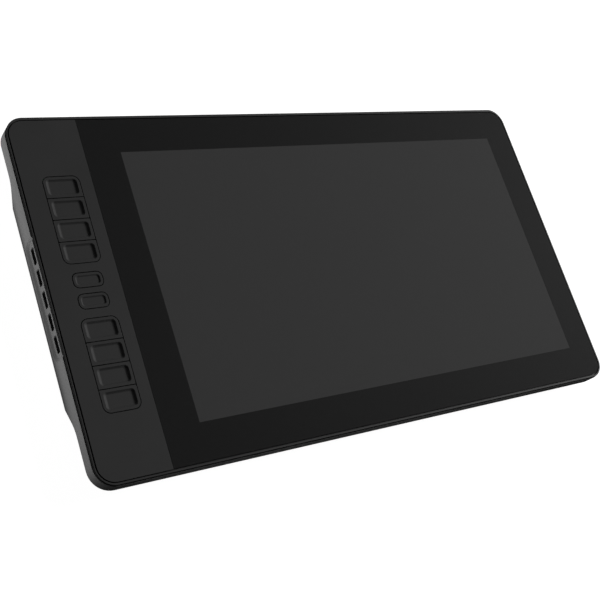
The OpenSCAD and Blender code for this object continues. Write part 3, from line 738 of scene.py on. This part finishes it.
class ExpressKeysOperator(bpy.types.Operator):
    """Models the express keys: rounded edges, a dish with soft flanks, a flange and a stem below"""
    bl_idname = "pen_display.express_keys"
    bl_label = "Express keys"

    WING = 1.7 * MM
    WING_SET_IN = 3.6 * MM
    FLANGE = 0.8 * MM
    CAP = 2.4 * MM
    STEM_RADIUS = 2 * MM
    UPRIGHT_ROUND = 0.4 * MM
    SMALL_ROUND = 3.6 * MM
    # Dishes: how much smaller than the key, the flanks' width, the corner, a share of the depth.
    WIDE_DISH = Vector((3.7, 3.6, 0)) * MM, Vector((2.4, 1.7, 0)) * MM, 2.6 * MM, 1.0
    SMALL_DISH = Vector((3.4, 3.3, 0)) * MM, Vector((1.1, 1.1, 0)) * MM, 2.1 * MM, 0.6

    def execute(self, context):
        key = context.scene.pen_display_keys
        # The keys are moulded in the panel's ABS with the same etched grain, so only their edges
        # and dishes show.
        finish = moulded_plastic("matte_ABS_keys", context.scene.pen_display_case.panel_colour,
                                 grain=0.35, rough=0.6, depth=0.02, specular=0.06)
        masters = {kind: (node, self.model_key(key, node, kind)) for kind, node in
                   (("middle", "express_key_2"), ("end", "express_key_1"),
                    ("small", "express_key_5"))}
        for number, node in enumerate(KEYS, 1):
            kind = "small" if node in SMALL_KEYS else "end" if node in END_KEYS else "middle"
            home, master = masters[kind]
            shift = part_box(node)[0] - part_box(home)[0]
            piece = place_copy(master, f"{node}_cap", shift, half_turn=node in LOW_END_KEYS)
            hand_in(piece, f"key_{number}", "express_key", finish, node)
        for node, master in masters.values():
            bpy.data.objects.remove(master)
        return {"FINISHED"}

    def model_key(self, key, node, kind):
        """One key: a middle or an end key of a bank, or a small one."""
        low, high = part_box(node)
        seat = high.z - self.CAP
        cap_low = Vector((low.x + self.WING, low.y, seat))
        cap_high = Vector((high.x - self.WING, high.y, high.z))
        centre = (cap_low + cap_high) / 2
        size = cap_high - cap_low
        piece = block(kind, cap_low, cap_high)
        upright = spans(Z, self.CAP / 2)
        if kind == "small":
            round_edges(piece, upright, self.SMALL_ROUND, 10)
        else:
            round_edges(piece, lambda e: upright(e) and (
                kind == "middle" or e.verts[0].co.y < centre.y), self.UPRIGHT_ROUND, 3)
        if kind == "end":
            round_edges(piece, lambda e: upright(e) and e.verts[0].co.y > centre.y,
                        key.bank_round, 12)
        margin, flank, corner, share = self.SMALL_DISH if kind == "small" else self.WIDE_DISH
        tool = dish_tool(centre, high.z, size - margin, flank, corner, key.dish_depth * share)
        combine(piece, tool, "DIFFERENCE")
        soften(piece, key.edge_round, angle=22)
        flange = block("flange", (low.x, low.y + self.WING_SET_IN, seat),
                       (high.x, high.y - self.WING_SET_IN, seat + self.FLANGE))
        combine(piece, flange, "UNION")
        stem_top = seat + self.FLANGE / 2
        stem = rod("stem", (centre.x, centre.y, (low.z + stem_top) / 2), self.STEM_RADIUS,
                   stem_top - low.z)
        combine(piece, stem, "UNION")
        smooth(piece, 30)
        return piece


class SideButtonsOperator(bpy.types.Operator):
    """Models the side buttons: an oblong head with a soft edge, a flange and a stem behind"""
    bl_idname = "pen_display.side_buttons"
    bl_label = "Side buttons"

    FLANGE_OUT = 0.7 * MM
    FLANGE = 0.9 * MM
    STEM = 1.5 * MM
    STEM_RADIUS = 1.3 * MM
    HEAD_ROUND = 1.0 * MM
    FACE_ROUND = 0.35 * MM
    SET_BACK = 0.3 * MM
    HEAD_DROP = 1.0 * MM

    def execute(self, context):
        # Black silicone rubber, moulded: it takes the light softly and shows almost no shine.
        finish = moulded_plastic("moulded_silicone_black", "#060606", grain=0.3, rough=0.75,
                                 depth=0.01, specular=0.0)
        low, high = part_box(BUTTONS[0])
        middle = (low + high) / 2
        flange_back = high.x - self.STEM
        flange_front = flange_back - self.FLANGE
        face = low.x + self.SET_BACK
        out = self.FLANGE_OUT
        master = block("button", (face, low.y + out, low.z + out - self.HEAD_DROP),
                       (flange_back, high.y - out, high.z - out))
        round_edges(master, spans(X, self.STEM), self.HEAD_ROUND, 6)
        round_edges(master, lambda e: all(v.co.x < face + TINY for v in e.verts),
                    self.FACE_ROUND, 4)
        flange = block("flange", (flange_front, low.y, low.z), (flange_back, high.y, high.z))
        combine(master, flange, "UNION")
        stem_low = flange_back - self.FLANGE / 2
        stem = rod("stem", ((stem_low + high.x) / 2, middle.y, middle.z), self.STEM_RADIUS,
                   high.x - stem_low, turn=(0, math.pi / 2, 0))
        combine(master, stem, "UNION")
        smooth(master, 30)
        for number, node in enumerate(BUTTONS, 1):
            piece = place_copy(master, f"{node}_head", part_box(node)[0] - low)
            hand_in(piece, f"side_{number}", "side_button", finish, node)
        bpy.data.objects.remove(master)
        return {"FINISHED"}


class FeetOperator(bpy.types.Operator):
    """Models the rubber feet: oblong pads with a soft edge and a moulded ring on the sole"""
    bl_idname = "pen_display.feet"
    bl_label = "Rubber feet"

    LENGTH, WIDTH, ROUND = 50 * MM, 14 * MM, 5 * MM
    EDGE = 0.7 * MM
    RING_IN, RING_WIDTH, RING_DEPTH = 2.0 * MM, 0.8 * MM, 0.35 * MM

    def execute(self, context):
        low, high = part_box("rubber_feet")
        near = Vector((low.x + self.LENGTH, low.y + self.WIDTH, high.z))
        pad = block("pad", low, near)
        round_edges(pad, spans(Z, self.EDGE), self.ROUND, 10)
        round_edges(pad, at_level(low.z), self.EDGE, 4)
        edit(pad)
        choose(pad, "FACE", lambda f: f.normal.z < -FACING)
        bpy.ops.mesh.inset(thickness=self.RING_IN)
        bpy.ops.mesh.inset(thickness=self.RING_WIDTH / 4)
        bpy.ops.transform.translate(value=(0, 0, self.RING_DEPTH))
        bpy.ops.mesh.inset(thickness=self.RING_WIDTH / 2)
        bpy.ops.mesh.inset(thickness=self.RING_WIDTH / 4)
        bpy.ops.transform.translate(value=(0, 0, -self.RING_DEPTH))
        done()
        smooth(pad, 40)
        shifts = four_corners(high.x - low.x - self.LENGTH, high.y - low.y - self.WIDTH)
        feet = join_copies(pad, "rubber_feet_pads", shifts)
        # Black rubber, moulded: dull, a little dusty, with a fine pebbled skin.
        hand_in(feet, "case", "rubber_feet",
                moulded_plastic("moulded_rubber_black", "#1b1b1b", grain=0.6, rough=0.85,
                                depth=0.05, specular=0.2), "rubber_feet")
        return {"FINISHED"}


class InsertsOperator(bpy.types.Operator):
    """Models the brass inserts that take the screws of a stand"""
    bl_idname = "pen_display.inserts"
    bl_label = "Threaded inserts"

    RADIUS, BORE = 3.45 * MM, 2.0 * MM
    PITCH, THREAD = 0.7 * MM, -0.25 * MM
    CHAMFER = 0.2 * MM

    def execute(self, context):
        low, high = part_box("mount_inserts")
        centre = Vector((low.x + self.RADIUS, low.y + self.RADIUS, 0))
        body = rod("insert", (centre.x, centre.y, (low.z + high.z) / 2), self.RADIUS,
                   high.z - low.z, sides=48)
        soften(body, self.CHAMFER, angle=60, segments=2)
        bore = threaded_rod("bore", centre, self.BORE, low.z - self.PITCH, high.z + self.PITCH,
                            self.PITCH, self.THREAD, 32)
        combine(body, bore, "DIFFERENCE")
        smooth(body, 40)
        shifts = four_corners(high.x - low.x - 2 * self.RADIUS, high.y - low.y - 2 * self.RADIUS)
        inserts = join_copies(body, "mount_inserts_threaded", shifts)
        # Brass, turned: warm and bright, with the fine rings of the lathe (0.1 mm, drawn as 0.4).
        brass = uneven_finish("turned_brass", "#b58b43", "#cda861", 0.28, "rings", 0.4,
                              metal=1.0, bump_mm=0.01)
        hand_in(inserts, "case", "mount_inserts", brass, "mount_inserts")
        return {"FINISHED"}


class CaseScrewsOperator(bpy.types.Operator):
    """Models the case screws: a flat head with a cross recess, and a threaded shaft"""
    bl_idname = "pen_display.case_screws"
    bl_label = "Case screws"

    HEAD, SHAFT = 2.3 * MM, 1.25 * MM
    HEAD_TALL, HEAD_ROUND = 1.6 * MM, 0.35 * MM
    PITCH, THREAD = 0.6 * MM, 0.25 * MM
    SLOT = Vector((2.6, 0.55, 1.8)) * MM
    # The recess is this much smaller at its floor.
    SLOT_TAPER = (0.45, 0.8, 1)
    COLUMNS = (-1.0, -1 / 3, 1 / 3, 1.0)

    def execute(self, context):
        low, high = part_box("case_screws")
        centre = Vector((low.x + self.HEAD, low.y + self.HEAD, 0))
        screw = rod("screw", (centre.x, centre.y, low.z + self.HEAD_TALL / 2), self.HEAD,
                    self.HEAD_TALL, sides=40)
        round_edges(screw, at_level(low.z), self.HEAD_ROUND, 4)
        face = Vector((centre.x, centre.y, low.z))
        for turn in (0, math.pi / 2):
            slot = block("slot", face - self.SLOT / 2, face + self.SLOT / 2)
            edit(slot)
            choose(slot, "FACE", lambda f: f.normal.z > FACING)
            bpy.ops.transform.resize(value=self.SLOT_TAPER, center_override=centre)
            bpy.ops.mesh.select_all(action="SELECT")
            if turn:
                bpy.ops.transform.rotate(value=turn, orient_axis="Z", center_override=centre)
            done()
            combine(screw, slot, "DIFFERENCE")
        shaft = threaded_rod("shaft", centre, self.SHAFT, low.z + self.HEAD_TALL - self.THREAD,
                             high.z, self.PITCH, self.THREAD, 20)
        combine(screw, shaft, "UNION")
        smooth(screw, 35)
        reach = (high.x - low.x) / 2 - self.HEAD
        far = high.y - low.y - 2 * self.HEAD
        shifts = [Vector((reach * (1 + column), far * j, 0))
                  for column in self.COLUMNS for j in (0, 1)]
        screws = join_copies(screw, "case_screws_cross_head", shifts)
        # Steel, blackened in oxide: dark, with a dull shine that is a little blotchy.
        black = uneven_finish("blackened_steel", "#242427", "#38383b", 0.42, "cloud", 0.5,
                              metal=1.0)
        hand_in(screws, "case", "case_screws", black, "case_screws")
        return {"FINISHED"}


class PortsOperator(bpy.types.Operator):
    """Finishes the sockets: softened shells, tongues with contacts, a pin and a gasket"""
    bl_idname = "pen_display.ports"
    bl_label = "Ports"

    SHELL_ROUND = 0.1 * MM
    # A socket's mouth: its depth, and how far from its end and its front a face is inside it.
    MOUTH, MOUTH_END, MOUTH_FRONT = 6.5 * MM, 0.3 * MM, 0.5 * MM
    # Tongues: half the width, how much higher than the middle, half the thickness, and set back.
    TONGUES = {"video_socket": (5.5 * MM, 0.5 * MM, 0.55 * MM, 1.5 * MM),
               "data_socket": (3.2 * MM, 0.0, 0.35 * MM, 1.0 * MM)}
    TONGUE_NEAR = 0.05 * MM
    # Contacts: how many and how far apart, the size of each, and how far behind the tongue's tip.
    CONTACTS = {"video_socket": (9, 1.1 * MM), "data_socket": (6, 0.9 * MM)}
    CONTACT = Vector((0.4, 3.6, 0.08)) * MM
    CONTACT_BACK = 0.4 * MM
    PIN = 0.7 * MM
    GASKET, GASKET_OUT = 0.8 * MM, 0.1 * MM
    # The gasket's hole is rounded by this much less than half its height.
    HOLE_FLAT = 0.01 * MM

    def execute(self, context):
        # Steel, stamped and nickel-plated: a warm silver with faint draw lines along the shell.
        nickel = uneven_finish("stamped_nickel_steel", "#a5a49e", "#bfbeb8", 0.3, "cloud", 0.5,
                               stretch=(1, 0.06, 1), metal=1.0)
        # Liquid-crystal polymer, moulded: flat black with a dry, fine grain.
        polymer = uneven_finish("moulded_polymer_black", "#0d0d0e", "#191919", 0.6, "grain", 0.3,
                                specular=0.3)
        # Contact metal, gilded: small bright yellow bars.
        gilt = uneven_finish("gilded_contacts", "#c8962e", "#e0b654", 0.25, "grain", 0.5, metal=1.0)
        for node, (half, lift, thick, back) in self.TONGUES.items():
            low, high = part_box(node)
            middle = (low + high) / 2 + Vector((0, 0, lift))
            shell = self.soft_shell(node, f"{node}_shell")
            hand_in(shell, "case", "socket_shell", nickel, node)
            second_finish(shell, polymer, lambda f: self.in_mouth(f, high.y)
                          and abs(f.center.x - middle.x) < half + self.TONGUE_NEAR
                          and abs(f.center.z - middle.z) < thick + self.TONGUE_NEAR)
            self.add_contacts(node, middle, high.y - back, middle.z - thick, gilt)
        self.add_gasket(polymer)
        low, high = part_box("power_jack")
        middle = (low + high) / 2
        jack = self.soft_shell("power_jack", "power_jack_body")
        # Nylon, moulded: black with a slight satin shine, which the bright pin stands out from.
        hand_in(jack, "case", "power_jack",
                uneven_finish("moulded_nylon_black", "#131314", "#1d1d1e", 0.5, "grain", 0.4),
                "power_jack")
        second_finish(jack, nickel, lambda f: self.in_mouth(f, high.y) and math.hypot(
            f.center.x - middle.x, f.center.z - middle.z) < self.PIN)
        return {"FINISHED"}

    def soft_shell(self, node, name):
        """Copy of a socket with softened edges."""
        shell = merged_copy(node, name)
        soften(shell, self.SHELL_ROUND, angle=40, segments=2)
        smooth(shell, 35)
        return shell

    def in_mouth(self, face, front):
        """True for a face that lies in a socket's mouth, behind its front and before its end."""
        return front - self.MOUTH + self.MOUTH_END < face.center.y < front - self.MOUTH_FRONT

    def add_contacts(self, node, middle, front, face, finish):
        """Row of contact bars on a tongue's lower face."""
        count, pitch = self.CONTACTS[node]
        start = middle.x - pitch * (count - 1) / 2
        size = self.CONTACT
        tip = front - self.CONTACT_BACK
        bar = block("contact", (start - size.x / 2, tip - size.y, face - size.z / 2),
                    (start + size.x / 2, tip, face + size.z / 2))
        round_edges(bar, lambda e: all(v.co.z < face for v in e.verts), size.z / 4, 2)
        smooth(bar)
        shifts = [Vector((pitch * k, 0, 0)) for k in range(count)]
        row = join_copies(bar, f"{node}_contacts", shifts)
        hand_in(row, "case", "socket_shell", finish)

    def add_gasket(self, finish):
        """Frame that fills the corners of the window round the rounded data socket."""
        low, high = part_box("data_socket")
        out = self.GASKET_OUT
        gasket = block("data_socket_gasket",
                       (low.x - out, high.y - 2 * self.GASKET, low.z - out),
                       (high.x + out, high.y - self.GASKET, high.z + out))
        hole = block("hole", low, high)
        round_edges(hole, spans(Y, self.MOUTH), (high.z - low.z) / 2 - self.HOLE_FLAT, 8)
        combine(gasket, hole, "DIFFERENCE")
        smooth(gasket)
        hand_in(gasket, "case", "socket_shell", finish)


class InsideOperator(bpy.types.Operator):
    """Gives the boards, ribbons, switches and plates inside the case their finishes"""
    bl_idname = "pen_display.inside"
    bl_label = "Inside"

    PLUNGERS = ([f"key_plunger_{k}" for k in range(1, len(KEYS) + 1)]
                + [f"side_plunger_{k}" for k in range(1, len(BUTTONS) + 1)])

    def execute(self, context):
        dress(solder_mask("lacquered_circuit_board", "#14492c", "#2c7a4c", "#d0a94e"),
              "driver_board", "digitizer_board", "main_board", "key_board")
        # Aluminium, rolled: pale grey metal with long streaks along the sheet.
        dress(uneven_finish("rolled_aluminium", "#a8aaad", "#c6c8ca", 0.4, "flow", 0.8,
                            stretch=(0.02, 1, 1), metal=1.0, bump_mm=0.01),
              "digitizer_shield", "back_plate")
        # Epoxy, moulded: dark grey chips with a fine sandy skin.
        dress(uneven_finish("moulded_epoxy_black", "#121214", "#232326", 0.62, "grain", 0.25,
                            bump_mm=0.03), "board_components")
        # Nylon, moulded: dark switch bodies with a little satin shine.
        dress(uneven_finish("moulded_nylon_grey", "#1c1c1d", "#2b2b2c", 0.5, "grain", 0.4),
              "tact_switches")
        # Polyimide film, laminated over copper: amber with lines along it (0.5 mm, drawn as 1).
        dress(uneven_finish("laminated_polyimide_tall", "#8a5a1e", "#c8923f", 0.35, "bands_x", 1.0),
              "display_ribbon")
        dress(uneven_finish("laminated_polyimide_wide", "#8a5a1e", "#c8923f", 0.35, "bands_y", 1.0),
              "digitizer_ribbon", "key_ribbon")
        # Steel, zinc-plated: cool and bright, slightly clouded.
        dress(uneven_finish("zinc_plated_steel", "#8d9196", "#a9adb1", 0.35, "cloud", 1.0,
                            metal=1.0), "inner_screws")
        # Acetal, moulded: waxy white with a soft shine.
        dress(uneven_finish("moulded_acetal_white", "#c2c2bd", "#d3d3cf", 0.38, "grain", 1.0),
              *self.PLUNGERS)
        return {"FINISHED"}


class StageOperator(bpy.types.Operator):
    """Sets up the floor, the backdrop, the lamps and the camera"""
    bl_idname = "pen_display.stage"
    bl_label = "Stage"

    # The camera, found from the corners of the screen in the photograph.
    CAMERA_PLACE = Vector((-464.61, -219.42, 610.86)) * MM
    CAMERA_RIGHT = Vector((0.8206, -0.3018, 0.4854))
    CAMERA_UP = Vector((0.1117, 0.9176, 0.3816))
    CAMERA_BACK = Vector((-0.5605, -0.2589, 0.7866))
    LENS = 64.11
    SENSOR = 36.0
    CLIP = 0.01, 50.0
    # The floor lies just below the feet, and its edge turns up as the backdrop.
    FLOOR_REACH = 5.0
    FLOOR_LEVEL = -0.05 * MM
    WALL_HEIGHT = 1.5
    SOFTBOX_PLACE, SOFTBOX_AIM, SOFTBOX_SIZE = (3.43, 0.667, 1.96), (0.0, 0.0, 0.02), 1.5
    # Lamps that lie on the floor: the middle, the width and height, and a turn in degrees.
    LEFT_STRIP = (-0.2505, 0.058), 0.04, 0.358, 1.8
    FRONT_STRIP = (-0.03, -0.149), 0.33, 0.035, 0
    STRIP_LEVEL = 0.5 * MM

    def execute(self, context):
        stage = context.scene.pen_display_stage
        context.scene.view_settings.view_transform = "Standard"
        self.make_camera(context)
        bpy.ops.object.select_all(action="DESELECT")
        bpy.ops.mesh.primitive_circle_add(vertices=96, radius=self.FLOOR_REACH, fill_type="NGON",
                                          location=(0, 0, self.FLOOR_LEVEL))
        floor = settle(bpy.context.active_object, "floor")
        edit(floor)
        choose(floor, "EDGE", lambda e: e.is_boundary)
        bpy.ops.mesh.extrude_region_move(
            TRANSFORM_OT_translate={"value": (0, 0, self.WALL_HEIGHT)})
        done()
        floor.data.materials.append(self.white_paint(stage))
        self.lamp("right_softbox", self.SOFTBOX_PLACE, self.SOFTBOX_AIM,
                  self.SOFTBOX_SIZE, self.SOFTBOX_SIZE, stage.right_lamp)
        self.floor_strip("left_strip", stage.left_lamp, *self.LEFT_STRIP)
        self.floor_strip("front_strip", stage.front_lamp, *self.FRONT_STRIP)
        world = bpy.data.worlds.new("room")
        context.scene.world = world
        world.use_nodes = True
        light = world.node_tree.nodes["Background"].inputs
        light["Color"].default_value = (1, 1, 1, 1)
        light["Strength"].default_value = stage.sky
        return {"FINISHED"}

    def make_camera(self, context):
        """Camera at the place and with the lens that the photograph was taken with."""
        seen = bpy.data.cameras.new("camera")
        seen.lens = self.LENS
        seen.sensor_width = self.SENSOR
        seen.sensor_fit = "HORIZONTAL"
        seen.clip_start, seen.clip_end = self.CLIP
        camera = bpy.data.objects.new("camera", seen)
        context.scene.collection.objects.link(camera)
        axes = Matrix((self.CAMERA_RIGHT, self.CAMERA_UP, self.CAMERA_BACK))
        turn = axes.transposed().normalized()
        camera.matrix_world = Matrix.Translation(self.CAMERA_PLACE) @ turn.to_4x4()
        context.scene.camera = camera

    def white_paint(self, stage):
        """Matte white paper, seen as white directly, in shiny faces and through glass."""
        made, tree, _ = new_finish("white_paper")
        path = add_node(tree, "ShaderNodeLightPath")
        seen = path.outputs["Is Camera Ray"]
        for ray in ("Is Glossy Ray", "Is Transmission Ray"):
            seen = add_node(tree, "ShaderNodeMath", {0: seen, 1: path.outputs[ray]},
                            operation="MAXIMUM")
        level = add_node(tree, "ShaderNodeMath", {0: seen, 1: stage.floor_glow},
                         operation="MULTIPLY")
        glow = add_node(tree, "ShaderNodeEmission", {"Color": (1, 1, 1, 1), "Strength": level})
        matte = add_node(tree, "ShaderNodeBsdfDiffuse", {"Color": linear("#8c8c8c")})
        both = add_node(tree, "ShaderNodeAddShader", {0: glow, 1: matte})
        add_node(tree, "ShaderNodeOutputMaterial", {"Surface": both})
        return made

    def floor_strip(self, name, power, place, width, height, turn):
        """Narrow lamp on the floor beside the case that lights its wall as bright paper would."""
        strip = self.lamp(name, (*place, self.STRIP_LEVEL), (*place, 1.0), width, height, power)
        strip.visible_camera = False
        strip.rotation_euler.rotate_axis("Z", math.radians(turn))

    def lamp(self, name, place, aim, width, height, power):
        """Flat lamp that looks at a point."""
        light = bpy.data.lights.new(name, "AREA")
        light.shape = "RECTANGLE"
        light.size, light.size_y = width, height
        light.energy = power
        lamp = bpy.data.objects.new(name, light)
        bpy.context.scene.collection.objects.link(lamp)
        lamp.location = place
        lamp.rotation_euler = (Vector(aim) - Vector(place)).to_track_quat("-Z", "Y").to_euler()
        return lamp


class PiecesPanel(bpy.types.Panel):
    bl_idname = "PENDISPLAY_PT_pieces"
    bl_label = "Pen display"
    bl_space_type = "VIEW_3D"
    bl_region_type = "UI"
    bl_category = "Pen display"

    def draw(self, context):
        for operator in OPERATORS:
            self.layout.operator(operator.bl_idname)
        for group in GROUPS:
            box = self.layout.box()
            settings = getattr(context.scene, group)
            for name in settings.__annotations__:
                box.prop(settings, name)


GROUPS = {"pen_display_case": CaseSettings, "pen_display_keys": KeySettings,
          "pen_display_stage": StageSettings}
OPERATORS = (CaseOperator, ScreenOperator, ExpressKeysOperator, SideButtonsOperator, FeetOperator,
             InsertsOperator, CaseScrewsOperator, PortsOperator, InsideOperator, StageOperator)


def register():
    for name, group in GROUPS.items():
        bpy.utils.register_class(group)
        setattr(bpy.types.Scene, name, bpy.props.PointerProperty(type=group))
    for operator in OPERATORS:
        bpy.utils.register_class(operator)
    bpy.utils.register_class(PiecesPanel)


def unregister():
    bpy.utils.unregister_class(PiecesPanel)
    for operator in reversed(OPERATORS):
        bpy.utils.unregister_class(operator)
    for name, group in reversed(GROUPS.items()):
        delattr(bpy.types.Scene, name)
        bpy.utils.unregister_class(group)


def main():
    register()
    bpy.ops.pen_display.case()
    bpy.ops.pen_display.screen()
    bpy.ops.pen_display.express_keys()
    bpy.ops.pen_display.side_buttons()
    bpy.ops.pen_display.feet()
    bpy.ops.pen_display.inserts()
    bpy.ops.pen_display.case_screws()
    bpy.ops.pen_display.ports()
    bpy.ops.pen_display.inside()
    bpy.ops.pen_display.stage()
    bpy.context.view_layer.update()


if __name__ == "__main__":
    main()
